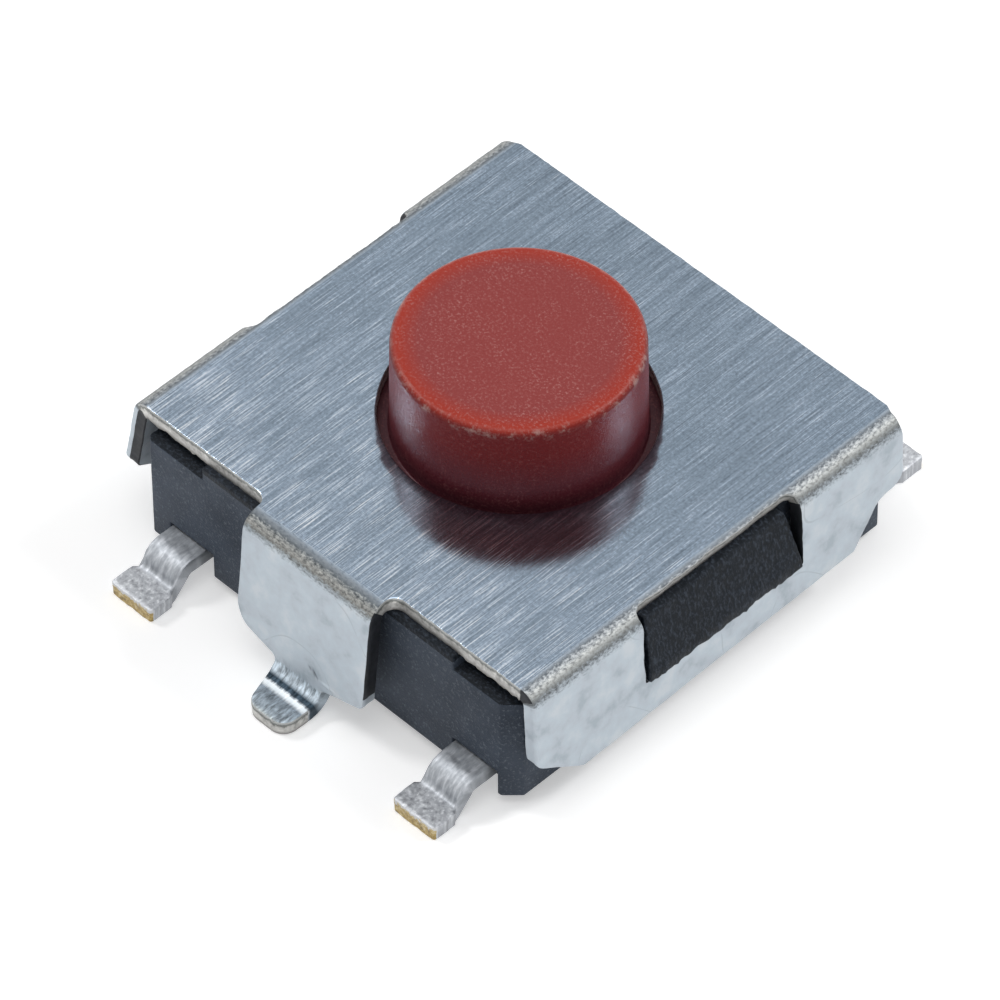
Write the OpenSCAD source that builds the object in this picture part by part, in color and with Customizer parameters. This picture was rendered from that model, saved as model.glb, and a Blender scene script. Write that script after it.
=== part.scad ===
// Tactile push button switch for surface mounting.
// A moulded base holds two contact frames, a snap dome and a sealing film. A round button stands on
// the film, and a folded sheet cover keeps it in and ends in a ground foot.
// Origin: on the solder plane, under the middle of the button. +Z is up, the ground foot is on -Y.

/* [Base] */
// Width of the base between the cover's side flanges
base_w = 5.64; // [5.4:0.02:7]
// Depth of the base between its lead faces
base_d = 5.85; // [5.5:0.05:7]
// Height of the base, underside to the raised middle that the cover rests on
base_h = 1.7; // [1.6:0.05:2.4]
// Height of the base's underside above the solder plane
stand_off = 0.1; // [0.04:0.01:0.2]
// Cut across the two upright corners on the marked side
corner_cut = 0.18; // [0.1:0.02:0.3]
// Cut across the two upright corners on the other side
corner_ease = 0.06; // [0.04:0.01:0.1]
// Bevel round the base's lower edges
base_bevel = 0.03; // [0.02:0.01:0.09]
// Width of the raised middle, between the low corner shoulders
raised_w = 3.86; // [3.4:0.02:4.4]
// Drop from the raised middle to the corner shoulders
shoulder_drop = 0.19; // [0.1:0.01:0.3]
// Depth of each corner shoulder, from the lead face inwards
shoulder_d = 0.7; // [0.4:0.05:1]
// Diameter of the round well that the button's flange slides in
well_d = 4.6; // [4.3:0.05:4.8]
// Height of the upright step at the foot of each snap barb
barb_step = 0.08; // [0.04:0.01:0.15]
// Draft on the ends of each snap barb
barb_draft = 0.1; // [0.04:0.01:0.15]
// Depth of the notch round each lead where it leaves the base
notch_depth = 0.2; // [0.1:0.02:0.3]
// Room beside a lead in its notch
notch_room = 0.12; // [0.05:0.01:0.15]
// Room over a lead in its notch
notch_over = 0.03; // [0.02:0.01:0.1]

/* [Contacts] */
// Thickness of the contact strip
strip_t = 0.2; // [0.15:0.01:0.25]
// Width of the contact strip and its leads
strip_w = 0.54; // [0.46:0.02:0.7]
// Width of the leads' flattened feet
sole_w = 0.64; // [0.6:0.02:0.8]
// Radius round the feet's end corners
sole_r = 0.05; // [0.02:0.01:0.08]
// Distance between the two lead rows
lead_pitch = 4.4; // [4.2:0.05:4.5]
// Length over the ends of the leads
lead_span = 7.62; // [7.4:0.02:9]
// Step down from the strip to the feet that are soldered
joggle = 0.25; // [0.18:0.01:0.32]
// Inside radius of a lead's two bends
lead_bend_r = 0.07; // [0.06:0.01:0.12]
// Straight stretch of a lead outside the base, before its bends
lead_out = 0.2; // [0.1:0.02:0.3]
// Plastic over the strips at the well floor
floor_skin = 0.05; // [0.03:0.01:0.07]
// Height of the contact pads above the strip
pad_rise = 0.08; // [0.075:0.005:0.12]
// Diameter of each pad under the dome's rim
rim_pad_d = 0.34; // [0.24:0.02:0.4]
// Distance of a rim pad's centre inside the dome's rim
rim_pad_in = 0.11; // [0.08:0.01:0.16]
// Width of the two arms that carry the rim pads
arm_w = 0.5; // [0.4:0.02:0.6]
// Metal past the pad at an arm's free end
arm_past = 0.25; // [0.2:0.01:0.3]
// Width of the tongue that reaches the centre
tongue_w = 0.7; // [0.5:0.05:0.9]
// Diameter of the round end of the tongue
tongue_end_d = 0.9; // [0.9:0.05:1.1]
// Diameter of the centre pad
centre_pad_d = 0.7; // [0.4:0.05:0.8]

/* [Dome and film] */
// Diameter of the snap dome
dome_d = 3.9; // [3.6:0.05:4]
// Thickness of the snap dome
dome_t = 0.06; // [0.04:0.01:0.08]
// Travel of the button until the dome meets the centre pad
travel = 0.25; // [0.15:0.01:0.32]
// Thickness of the sealing film
film_t = 0.05; // [0.03:0.01:0.08]

/* [Button] */
// Diameter of the button's stem where it leaves the cover
button_d = 2.84; // [2.4:0.02:3.1]
// Draft of the stem: how much smaller its top is across
button_draft = 0.05; // [0.02:0.01:0.1]
// Height of the button's top above the cover
button_proud = 1.1; // [0.5:0.05:3]
// Radius round the button's top edge
button_edge_r = 0.09; // [0.04:0.01:0.2]
// Thickness of the flange that the cover holds in
button_flange_t = 0.42; // [0.3:0.02:0.5]
// Diameter of the nub that presses the dome
nub_d = 1.2; // [0.8:0.05:1.6]

/* [Cover] */
// Thickness of the sheet
sheet_t = 0.2; // [0.15:0.01:0.25]
// Inside radius of the bends along the top
bend_r = 0.05; // [0.03:0.01:0.09]
// Angle at which the flange on the +X side leans out
lean_right = 3; // [0:0.5:5]
// Angle at which the flange on the -X side leans out
lean_left = 11; // [0:0.5:12]
// Distance of the plate's sheared edges behind the lead faces
plate_inset = 0.075; // [0:0.005:0.12]
// Distance of the flanges' far ends behind the plate's far edge
flange_inset = 0.045; // [0:0.005:0.1]
// Height of the flanges' lower edge above the solder plane, at the near end
flange_low = 0.44; // [0.35:0.01:0.5]
// Rise of that edge to the far end
flange_rise = 0.1; // [0:0.01:0.16]
// Width of the slanted corner at a flange's near end
slant_w = 0.66; // [0.5:0.02:0.8]
// Height of that slanted corner
slant_h = 0.47; // [0.4:0.02:0.65]
// Radius round the slant's upper corner
flange_corner_r = 0.15; // [0.06:0.01:0.2]
// Radius round the slant's lower corner
flange_toe_r = 0.1; // [0.04:0.01:0.15]
// Height of the hollow cut under a flange's far end
hollow_h = 0.53; // [0.4:0.01:0.6]
// Distance from the flange's far end to the hollow's inner corner
hollow_w = 0.38; // [0.36:0.01:0.5]
// Angle of the slope from that corner down to the flange's lower edge
hollow_slope = 52; // [45:1:60]
// Radius of the fillet in that corner
hollow_r = 0.3; // [0.1:0.01:0.34]
// Radius round the flange's far corner over the hollow
flange_far_r = 0.2; // [0.1:0.01:0.23]
// Width of the snap window in each side flange
window_w = 2.42; // [1.8:0.02:2.8]
// Height of the window's sill above the solder plane
window_sill = 0.96; // [0.92:0.01:1.2]
// How far the window cuts in past the bend, into the plate
window_cut = 0.17; // [0.1:0.01:0.2]
// Radius in the window's corners in the plate
window_corner_r = 0.12; // [0.05:0.01:0.14]
// Width of the ground tab
tab_w = 1.96; // [1.6:0.02:2.4]
// Angle at which the ground tab leans out
tab_lean = 6; // [0:0.5:8]
// Height of the tab's shoulders above the solder plane, beside the neck
tab_low = 0.345; // [0.3:0.005:0.4]
// Angle at which the shoulders' lower edges rise away from the neck
shoulder_angle = 15.5; // [5:0.5:25]
// Radius of the tab's lower corner on the -X side
tab_round_r = 0.3; // [0.15:0.01:0.4]
// Radius of the tab's lower corner on the +X side
tab_corner_r = 0.12; // [0.06:0.01:0.2]
// Radius of the fillet between the neck and the -X shoulder
neck_r = 0.08; // [0.05:0.01:0.16]
// Radius of the fillets where the tab leaves the plate
tab_root_r = 0.14; // [0.06:0.01:0.14]
// Width of the neck that goes over into the ground foot
foot_w = 0.72; // [0.6:0.02:0.8]
// How much the foot narrows towards its end, on the -X side
foot_slim = 0.15; // [0:0.01:0.2]
// Distance from the tab's outer face at its top bend to the end of the foot
foot_reach = 0.72; // [0.6:0.02:0.8]
// Outside radius of the bend from the neck to the foot
foot_bend_r = 0.16; // [0.12:0.01:0.2]
// Radius round the foot's end corners
foot_corner_r = 0.2; // [0.05:0.01:0.23]

/* [Fits] */
// Gap between the base and each side flange at its bend
side_gap = 0.08; // [0.04:0.01:0.12]
// Gap between the base and the ground tab
tab_gap = 0.115; // [0.05:0.005:0.2]
// Radial gap between the button's stem and the hole in the cover
stem_gap = 0.13; // [0.05:0.01:0.2]
// Radial gap between the button's flange and the well
flange_gap = 0.08; // [0.05:0.01:0.12]
// Gap over the button's flange at rest
lid_gap = 0.02; // [0.01:0.005:0.04]
// Radial gap between the snap dome and its seat
dome_gap = 0.1; // [0.05:0.01:0.12]
// Radial gap between the film and the well
film_gap = 0.06; // [0.03:0.01:0.1]
// Gap between the dome, the film and the nub at rest
stack_gap = 0.01; // [0.005:0.005:0.03]
// Gap between a snap barb and its window
barb_gap = 0.03; // [0.02:0.005:0.05]
// How far a snap barb stands out past the flange
barb_proud = 0.02; // [0:0.01:0.05]

/* [Hidden] */
$fn = 64;
// Number of points on the large flat arcs of the dome and film
arc_fn = 360;
// Reach of the cutting shapes past what they cut
past = 1;

base_top = stand_off + base_h;
cover_top = base_top + sheet_t;
button_top = cover_top + button_proud;

strip_z = joggle;
strip_top = strip_z + strip_t;
floor_z = strip_top + floor_skin;
pad_top = strip_top + pad_rise;
ledge_z = pad_top + dome_t + stack_gap;

dome_r = dome_d / 2;
dome_inner_r = (dome_r * dome_r + travel * travel) / (2 * travel);
dome_outer_r = dome_inner_r + dome_t;
dome_centre_z = pad_top + travel - dome_inner_r;
film_inner_r = dome_outer_r + stack_gap;
film_outer_r = film_inner_r + film_t;
film_top = dome_centre_z + film_outer_r;
film_rim_r = well_d / 2 - film_gap;
nub_z = film_top + stack_gap;

stem_r = button_d / 2;
hole_r = stem_r + stem_gap;
button_flange_r = well_d / 2 - flange_gap;
button_flange_top = base_top - lid_gap;

rim_pad_xy = (dome_r - rim_pad_in) * cos(45);

bend_outer_r = bend_r + sheet_t;
bend_z = cover_top - bend_outer_r;
cover_w = base_w + 2 * (side_gap + sheet_t);
cover_d = base_d - 2 * plate_inset;
flange_far = cover_d / 2 - flange_inset;
tab_face = base_d / 2 + tab_gap + sheet_t;

lead_mid_r = lead_bend_r + strip_t / 2;
lead_angle = acos(1 - joggle / (2 * lead_mid_r));
lead_bend_y = base_d / 2 + lead_out;
lead_foot_y = lead_bend_y + 2 * lead_mid_r * sin(lead_angle);

// A profile drawn in Y and Z, drawn out along X and centred there
module along_x(length) {
    rotate([90, 0, 90])
        linear_extrude(length, center = true)
            children();
}

// A profile drawn in X and Z, drawn out along Y and centred there
module along_y(length) {
    rotate([90, 0, 0])
        linear_extrude(length, center = true)
            children();
}

// A band of sheet bent round an arc, between two angles less than half a turn apart
module bent_band(inner_r, thickness, from, to) {
    reach = 2 * (inner_r + thickness);
    middle = (from + to) / 2;
    tip = reach / cos((to - from) / 2);
    intersection() {
        difference() {
            circle(inner_r + thickness);
            circle(inner_r);
        }
        polygon([
            [0, 0],
            reach * [cos(from), sin(from)],
            tip * [cos(middle), sin(middle)],
            reach * [cos(to), sin(to)]
        ]);
    }
}

// A polygon with each corner rounded to its own radius, all corners pointing outwards
function towards(from, to) = (to - from) / norm(to - from);
function at(points, i) = points[(i + len(points)) % len(points)];
function half_corner(points, i) =
    acos(towards(points[i], at(points, i - 1)) * towards(points[i], at(points, i + 1))) / 2;
function round_centre(points, i, r) =
    points[i] + r / sin(half_corner(points, i))
        * towards([0, 0], towards(points[i], at(points, i - 1)) + towards(points[i], at(points, i + 1)));

module rounded_polygon(points, radii) {
    polygon([
        for (i = [0 : len(points) - 1], side = [-1, 1])
            points[i] + radii[i] / tan(half_corner(points, i)) * towards(points[i], at(points, i + side))
    ]);
    for (i = [0 : len(points) - 1])
        if (radii[i] > 0)
            translate(round_centre(points, i, radii[i]))
                circle(radii[i]);
}

// The fillet that fills an inner corner, between the directions of its two edges
module inner_fillet(corner, first, second, r) {
    half = acos(first * second) / 2;
    centre = r / sin(half) * towards([0, 0], first + second);
    side = r / tan(half);
    translate(corner)
        difference() {
            polygon([[0, 0], side * first, centre, side * second]);
            translate(centre)
                circle(r);
        }
}

// One half of a strip's side view: flat through the base, then down to its foot in an S
module lead_profile() {
    translate([0, strip_z])
        square([lead_bend_y, strip_t]);
    translate([lead_bend_y, strip_z - lead_bend_r])
        bent_band(lead_bend_r, strip_t, 90 - lead_angle, 90);
    translate([lead_foot_y, strip_t + lead_bend_r])
        bent_band(lead_bend_r, strip_t, 270 - lead_angle, 270);
    translate([lead_foot_y, 0])
        square([lead_span / 2 - lead_foot_y, strip_t]);
}

// The flattened foot at the end of a lead
module sole() {
    end = lead_span / 2;
    x = sole_w / 2;
    linear_extrude(strip_t)
        rounded_polygon(
            [[-x, lead_foot_y], [x, lead_foot_y], [x, end], [-x, end]],
            [0, 0, sole_r, sole_r]
        );
}

// A whole strip with a lead and its foot at each end
module strip() {
    along_x(strip_w) {
        lead_profile();
        mirror([1, 0])
            lead_profile();
    }
    sole();
    mirror([0, 1, 0])
        sole();
}

// A round pad pressed up out of the strip
module pad(d) {
    translate([0, 0, strip_z])
        cylinder(h = pad_top - strip_z, d = d);
}

// The contact frame that reaches the middle of the dome
module centre_contact_metal() {
    translate([-lead_pitch / 2, 0, 0])
        strip();
    translate([-lead_pitch / 2, -tongue_w / 2, strip_z])
        cube([lead_pitch / 2, tongue_w, strip_t]);
    translate([0, 0, strip_z])
        cylinder(h = strip_t, d = tongue_end_d);
    pad(centre_pad_d);
}

// The contact frame that carries the dome's rim on four pads
module rim_contact_metal() {
    translate([lead_pitch / 2, 0, 0])
        strip();
    for (side = [-1, 1]) {
        translate([-rim_pad_xy - arm_past, side * rim_pad_xy - arm_w / 2, strip_z])
            cube([lead_pitch / 2 + rim_pad_xy + arm_past, arm_w, strip_t]);
        for (end = [-1, 1])
            translate([end * rim_pad_xy, side * rim_pad_xy, 0])
                pad(rim_pad_d);
    }
}

module centre_contact() {
    color("#b9bcbe")
        centre_contact_metal();
}

module rim_contact() {
    color("#b9bcbe")
        rim_contact_metal();
}

// A slab across the base that ends at two upright faces, with a bevel along the foot of each
module slab(left, right) {
    low = stand_off;
    along_y(3 * base_d)
        polygon([
            [base_bevel - left, low],
            [right - base_bevel, low],
            [right, low + base_bevel],
            [right, base_top],
            [-left, base_top],
            [-left, low + base_bevel]
        ]);
}

// The base's block: four slabs crossing, two square and two that cut the upright corners
module block() {
    half_diagonal = (base_w + base_d) / 2 * cos(45);
    marked = half_diagonal - corner_cut * cos(45);
    eased = half_diagonal - corner_ease * cos(45);
    intersection() {
        slab(base_w / 2, base_w / 2);
        rotate(90)
            slab(base_d / 2, base_d / 2);
        rotate(45)
            slab(eased, marked);
        rotate(-45)
            slab(eased, marked);
    }
}

// A snap barb on the +X side: a ramp for the flange to ride over and a step that catches the sill
module barb(lean) {
    root = base_w / 2 - corner_cut;
    low = window_sill + barb_gap;
    high = base_top - barb_gap;
    tip = cover_w / 2 + tan(lean) * (bend_z - window_sill) + barb_proud;
    top_x = cover_w / 2 - window_cut + barb_gap;
    half = window_w / 2 - barb_gap;
    intersection() {
        along_y(window_w)
            polygon([[root, low], [tip, low], [tip, low + barb_step], [top_x, high], [root, high]]);
        along_x(2 * cover_w)
            polygon([[-half, low], [half, low], [half - barb_draft, high], [barb_draft - half, high]]);
    }
}

module base_housing() {
    x = base_w / 2;
    y = base_d / 2;
    shoulder_w = (base_w - raised_w) / 2;
    notch_w = strip_w + 2 * notch_room;
    color("#343b44")
        difference() {
            union() {
                block();
                barb(lean_right);
                mirror([1, 0, 0])
                    barb(lean_left);
            }
            translate([0, 0, ledge_z])
                cylinder(h = base_h, d = well_d);
            translate([0, 0, floor_z])
                cylinder(h = base_h, r = dome_r + dome_gap);
            for (side = [-1, 1], end = [-1, 1])
                translate([side * x, end * y, base_top])
                    cube([2 * shoulder_w, 2 * shoulder_d, 2 * shoulder_drop], center = true);
            for (side = [-1, 1], end = [-1, 1])
                translate([side * lead_pitch / 2, end * y, stand_off])
                    cube([notch_w, 2 * notch_depth, 2 * (strip_top + notch_over - stand_off)], center = true);
            centre_contact_metal();
            rim_contact_metal();
        }
}

module snap_dome() {
    color("#c8ccce")
        rotate_extrude()
            intersection() {
                translate([0, dome_centre_z])
                    difference() {
                        circle(dome_outer_r, $fn = arc_fn);
                        circle(dome_inner_r, $fn = arc_fn);
                    }
                translate([0, pad_top])
                    square([dome_r, travel + 2 * dome_t]);
            }
}

module sealing_film() {
    color("#b5782a")
        rotate_extrude() {
            intersection() {
                translate([0, dome_centre_z])
                    difference() {
                        circle(film_outer_r, $fn = arc_fn);
                        circle(film_inner_r, $fn = arc_fn);
                    }
                translate([0, ledge_z])
                    square([film_rim_r, film_top]);
            }
            difference() {
                translate([0, ledge_z])
                    square([film_rim_r, film_t]);
                translate([0, dome_centre_z])
                    circle(film_inner_r, $fn = arc_fn);
            }
        }
}

module push_button() {
    stem_low = button_flange_top - button_flange_t;
    color("#a8433c")
        rotate_extrude() {
            translate([0, nub_z])
                square([nub_d / 2, button_flange_top - nub_z]);
            translate([0, stem_low])
                square([button_flange_r, button_flange_t]);
            rounded_polygon(
                [[0, stem_low], [stem_r, stem_low], [stem_r - button_draft / 2, button_top], [0, button_top]],
                [0, 0, button_edge_r, 0]
            );
        }
}

// Side view of one half of the plate, its bend and a leaning flange, drawn for the +X side
module side_profile(lean) {
    leg = (bend_z - flange_low) / cos(lean) + sheet_t;
    centre = cover_w / 2 - bend_outer_r;
    translate([0, cover_top - sheet_t])
        square([centre, sheet_t]);
    translate([centre, bend_z]) {
        bent_band(bend_r, sheet_t, lean, 90);
        rotate(lean)
            translate([bend_r, -leg])
                square([sheet_t, leg]);
    }
}

// Outline of a side flange, seen along X: a slant at the near end and a hollow at the far end
module flange_outline() {
    near = -cover_d / 2;
    high = cover_top + past;
    mid_low = flange_low + flange_rise / 2;
    far_low = flange_low + flange_rise;
    hollow_top = far_low + hollow_h;
    inner_y = flange_far - hollow_w;
    rounded_polygon(
        [
            [near, high],
            [near, flange_low + slant_h],
            [near + slant_w, flange_low],
            [0, mid_low],
            [0, high]
        ],
        [0, flange_corner_r, flange_toe_r, 0, 0]
    );
    polygon([
        [-past, mid_low],
        [0, mid_low],
        [inner_y - hollow_h / tan(hollow_slope), far_low],
        [inner_y, hollow_top],
        [inner_y, high],
        [-past, high]
    ]);
    rounded_polygon(
        [[0, hollow_top], [flange_far, hollow_top], [flange_far, high], [0, high]],
        [0, flange_far_r, 0, 0]
    );
    inner_fillet([inner_y, hollow_top], [1, 0], [-cos(hollow_slope), -sin(hollow_slope)], hollow_r);
}

// The snap window: square through the flange, then on into the plate's edge with round corners
module window() {
    inner = cover_w / 2 - window_cut;
    outer = inner + past;
    y = window_w / 2;
    translate([cover_w / 2 - bend_outer_r, -y, window_sill])
        cube([past, window_w, base_top - window_sill]);
    translate([0, 0, bend_z])
        linear_extrude(past)
            rounded_polygon(
                [[inner, -y], [outer, -y], [outer, y], [inner, y]],
                [window_corner_r, 0, 0, window_corner_r]
            );
}

// Side view of the ground tab with Y turned outwards: plate edge, top bend and leaning sheet.
// With the neck it goes on through the lower bend into the foot.
module tab_profile(neck) {
    top_y = tab_face - bend_outer_r;
    out = bend_outer_r + foot_bend_r;
    bend_low = sheet_t + foot_bend_r;
    leg = (bend_z + out * sin(tab_lean) - bend_low) / cos(tab_lean);
    foot_y = top_y + out * cos(tab_lean) + leg * sin(tab_lean);
    translate([cover_d / 2 - tab_root_r, cover_top - sheet_t])
        square([top_y - cover_d / 2 + tab_root_r, sheet_t]);
    translate([top_y, bend_z]) {
        bent_band(bend_r, sheet_t, tab_lean, 90);
        rotate(tab_lean)
            translate([bend_r, -leg])
                square([sheet_t, leg]);
        if (!neck)
            rotate(tab_lean)
                translate([bend_r, -leg - foot_bend_r])
                    square([sheet_t, leg]);
    }
    if (neck) {
        translate([foot_y, bend_low])
            bent_band(foot_bend_r, sheet_t, 180 + tab_lean, 270);
        translate([foot_y, 0])
            square([tab_face + foot_reach - foot_y, sheet_t]);
    }
}

// Front view of the ground tab above its neck, with its two lower corners unlike
module tab_outline() {
    x = tab_w / 2;
    rise = (x - foot_w / 2) * tan(shoulder_angle);
    rounded_polygon(
        [
            [-x, cover_top + past],
            [-x, tab_low + rise],
            [-foot_w / 2, tab_low],
            [foot_w / 2, tab_low],
            [x, tab_low + rise],
            [x, cover_top + past]
        ],
        [0, tab_round_r, 0, 0, tab_corner_r, 0]
    );
}

// The fillet that leads the -X shoulder into the neck
module neck_fillet() {
    inner_fillet([-foot_w / 2, tab_low], [-cos(shoulder_angle), sin(shoulder_angle)], [0, -1], neck_r);
}

// Plan view of the neck and foot: narrower towards its end, which has round corners
module foot_plan() {
    x = foot_w / 2;
    end = -tab_face - foot_reach;
    rounded_polygon(
        [[foot_slim - x, end], [x, end], [x, 0], [-x, 0], [-x, -tab_face]],
        [foot_corner_r, foot_corner_r, 0, 0, 0]
    );
}

module ground_tab() {
    intersection() {
        along_x(tab_w)
            mirror([1, 0])
                tab_profile(false);
        along_y(4 * tab_face)
            union() {
                tab_outline();
                neck_fillet();
            }
    }
    intersection() {
        along_x(foot_w)
            mirror([1, 0])
                tab_profile(true);
        linear_extrude(cover_top)
            foot_plan();
    }
}

// The two fillets that join the tab's sides to the plate's edge
module tab_roots() {
    translate([0, -cover_d / 2, cover_top - sheet_t])
        linear_extrude(sheet_t)
            for (side = [-1, 1])
                difference() {
                    translate([side * tab_w / 2, 0])
                        square(2 * tab_root_r, center = true);
                    translate([side * (tab_w / 2 + tab_root_r), -tab_root_r])
                        circle(tab_root_r);
                }
}

module shield_cover() {
    color("#a9b2ba")
        difference() {
            union() {
                intersection() {
                    along_y(cover_d) {
                        side_profile(lean_right);
                        mirror([1, 0])
                            side_profile(lean_left);
                    }
                    union() {
                        along_x(2 * cover_w)
                            flange_outline();
                        translate([0, 0, bend_z + bend_r])
                            cube([cover_w - 2 * bend_outer_r, cover_d, cover_top], center = true);
                    }
                }
                ground_tab();
                tab_roots();
            }
            window();
            mirror([1, 0, 0])
                window();
            translate([0, 0, base_top - past])
                cylinder(h = sheet_t + 2 * past, r = hole_r);
        }
}

base_housing();
centre_contact();
rim_contact();
snap_dome();
sealing_film();
push_button();
shield_cover();
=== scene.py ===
import math

import bmesh
import bpy
import numpy as np
from mathutils import Matrix, Vector, geometry, noise
from mathutils.kdtree import KDTree


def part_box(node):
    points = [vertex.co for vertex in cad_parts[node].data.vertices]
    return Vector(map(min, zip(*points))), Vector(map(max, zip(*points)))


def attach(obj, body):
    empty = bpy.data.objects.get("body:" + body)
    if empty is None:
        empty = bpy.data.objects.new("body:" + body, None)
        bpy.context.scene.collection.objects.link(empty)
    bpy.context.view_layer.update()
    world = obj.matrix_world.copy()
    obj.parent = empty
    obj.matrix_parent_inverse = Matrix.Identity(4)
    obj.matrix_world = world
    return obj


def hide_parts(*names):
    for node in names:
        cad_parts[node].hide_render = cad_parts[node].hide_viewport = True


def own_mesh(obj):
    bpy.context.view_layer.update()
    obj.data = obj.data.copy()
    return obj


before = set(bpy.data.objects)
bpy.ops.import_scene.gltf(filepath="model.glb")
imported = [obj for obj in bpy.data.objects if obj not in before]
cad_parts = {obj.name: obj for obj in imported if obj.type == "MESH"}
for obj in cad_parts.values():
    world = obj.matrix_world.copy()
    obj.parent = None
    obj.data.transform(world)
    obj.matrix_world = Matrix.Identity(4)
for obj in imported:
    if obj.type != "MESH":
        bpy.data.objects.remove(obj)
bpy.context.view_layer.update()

# Sizes are in millimetres, and MM turns them into Blender's metres
MM = 0.001


def box(node):
    """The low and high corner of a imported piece's box, in millimetres"""
    low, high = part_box(node)
    return low / MM, high / MM


_, base_high = box("base_housing")
cover_low, cover_high = box("shield_cover")
_, contact_high = box("rim_contact")
dome_low, dome_high = box("snap_dome")
film_low, film_high = box("sealing_film")
button_low, button_high = box("push_button")

# Sheet cover, folded from one sheet. The slant and the hollow at the ends of its flanges are given
# as width and height, the hollow with the radius of its fillet.
SHEET = 0.2
TOP_BEND = 0.25
LEAN = {1: math.radians(3), -1: math.radians(11)}
COVER_HALF_W = 3.1
PLATE_HALF_W = COVER_HALF_W - TOP_BEND
PLATE_HALF_D = cover_high.y
COVER_TOP = cover_high.z
BEND_Z = COVER_TOP - TOP_BEND
FLANGE_FAR = PLATE_HALF_D - 0.045
FLANGE_LOW = 0.44
FLANGE_LOW_FAR = 0.54
SLANT = (0.66, 0.47)
HOLLOW = (0.38, 0.53, 0.3)
HOLLOW_SLOPE = math.radians(52)
FLANGE_FAR_R = 0.2
CORNER_R = 0.15
WINDOW_HALF = 1.21
WINDOW_SILL = 0.96
WINDOW_CUT = 0.17
HOLE_R = 1.55
BARB_ROOT = 2.83

# Ground tab and its foot
TAB_HALF = 0.98
TAB_REACH = TAB_HALF + 0.2
TAB_FACE = base_high.y + 0.115 + SHEET
TAB_LEAN = math.radians(6)
TAB_LOW = 0.345
SHOULDER = math.radians(15.5)
FOOT_HALF = 0.36
FOOT_SLIM = 0.15
FOOT_LEVEL = 0.2
FOOT_BEND = 0.16
FOOT_END = -cover_low.y

# Contact strips and their leads
STRIP = 0.2
STRIP_HALF = 0.27
STRIP_TOP = 0.45
SOLE_HALF = 0.32
LEAD_X = 2.2
LEAD_BEND = 0.07
LEAD_BEND_Y = base_high.y + 0.2
LEAD_END = contact_high.y
JOGGLE = STRIP_TOP - STRIP
PAD_TOP = contact_high.z
RIM_PAD = 1.301
ARM_HALF = 0.25
TONGUE_HALF = 0.35
TONGUE_END_R = 0.45
CENTRE_PAD_R = 0.35
RIM_PAD_R = 0.17

# Round parts
STEM_R = 1.42
STEM_TOP_R = 1.395
BUTTON_EDGE = 0.09
BUTTON_FLANGE = (1.36, 1.78)
NUB_R = 0.6
DOME_T = 0.06
FILM_T = 0.05

# Moulded base: its eased edges, the ledge and the step at its ends, the notches beside the leads, and
# the spacing of the edges that the barbs' grain needs
BASE_EASE = 0.022
OUTER_R = 2.45
END_Y = 2.85
LEDGE_Z = base_high.z - 0.085
STEP_Z = base_high.z - 0.19
NOTCH_ROOM = 0.12
NOTCH_SHIFT = 0.1
BARB_GRAIN = 0.05


def smooth(x, start, end):
    """0 before start, 1 after end, and an easy rise between them"""
    t = min(max((x - start) / (end - start), 0.0), 1.0)
    return t * t * (3 - 2 * t)


def grain(u, v, size, seed):
    """Random height from -1 to 1 that changes over the given size"""
    return noise.noise(Vector((u / size, v / size, seed)))


# Camera

def place_camera():
    """The photograph's view through a long lens, fitted to the outlines in it: angles in degrees, then
    the distance and the shift of the picture in millimetres"""
    turn, tilt, roll = (math.radians(a) for a in (45.4463, 47.9077, -0.4376))
    distance, aim_right, aim_up = 97.1915, -0.2122, -0.3385
    back = Vector((math.sin(turn) * math.cos(tilt), -math.cos(turn) * math.cos(tilt), math.sin(tilt)))
    level = (-back).cross(Vector((0, 0, 1))).normalized()
    upright = level.cross(-back)
    right = math.cos(roll) * level + math.sin(roll) * upright
    up = math.cos(roll) * upright - math.sin(roll) * level
    place = Vector((0, 0, 1.0)) + distance * back + aim_right * right + aim_up * up
    lens = bpy.data.cameras.new("camera")
    lens.sensor_width = 36
    lens.lens = 319.913
    lens.clip_start = 0.005
    lens.clip_end = 5
    camera = bpy.data.objects.new("camera", lens)
    camera.matrix_world = Matrix.Translation(place * MM) @ Matrix((right, up, back)).transposed().to_4x4()
    bpy.context.scene.collection.objects.link(camera)
    bpy.context.scene.camera = camera


place_camera()


# Outlines

def rounded(corners, fine=0.03):
    """A closed outline from corners (u, v, radius), each rounded to its own radius"""
    points = []
    for i, (u, v, radius) in enumerate(corners):
        corner = Vector((u, v))
        before = (Vector(corners[i - 1][:2]) - corner).normalized()
        after = (Vector(corners[(i + 1) % len(corners)][:2]) - corner).normalized()
        if not radius:
            points.append(corner)
            continue
        half = before.angle(after) / 2
        centre = corner + (before + after).normalized() * radius / math.sin(half)
        start = corner + before * radius / math.tan(half) - centre
        turn = math.copysign(math.pi - 2 * half, after.cross(before))
        count = max(3, math.ceil(abs(turn) * radius / fine))
        for k in range(count + 1):
            points.append(centre + Matrix.Rotation(turn * k / count, 2) @ start)
    return points


def filled(points, step, closed=True):
    """The same outline with points added so that none are further apart than step says"""
    result = []
    for i in range(len(points) if closed else len(points) - 1):
        a, b = points[i], points[(i + 1) % len(points)]
        count = max(1, math.ceil((b - a).length / step((a + b) / 2)))
        result += [a.lerp(b, k / count) for k in range(count)]
    return result if closed else result + [points[-1]]


def inward(points):
    """For each point of an outline, the direction that leads into the sheet, on the left of the way round"""
    result = []
    for i, point in enumerate(points):
        before = (point - points[i - 1]).normalized()
        after = (points[(i + 1) % len(points)] - point).normalized()
        side = Vector((-before.y - after.y, before.x + after.x))
        side.normalize()
        lean = max(0.5, Vector((-after.y, after.x)).dot(side))
        result.append(side / lean)
    return result


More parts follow.
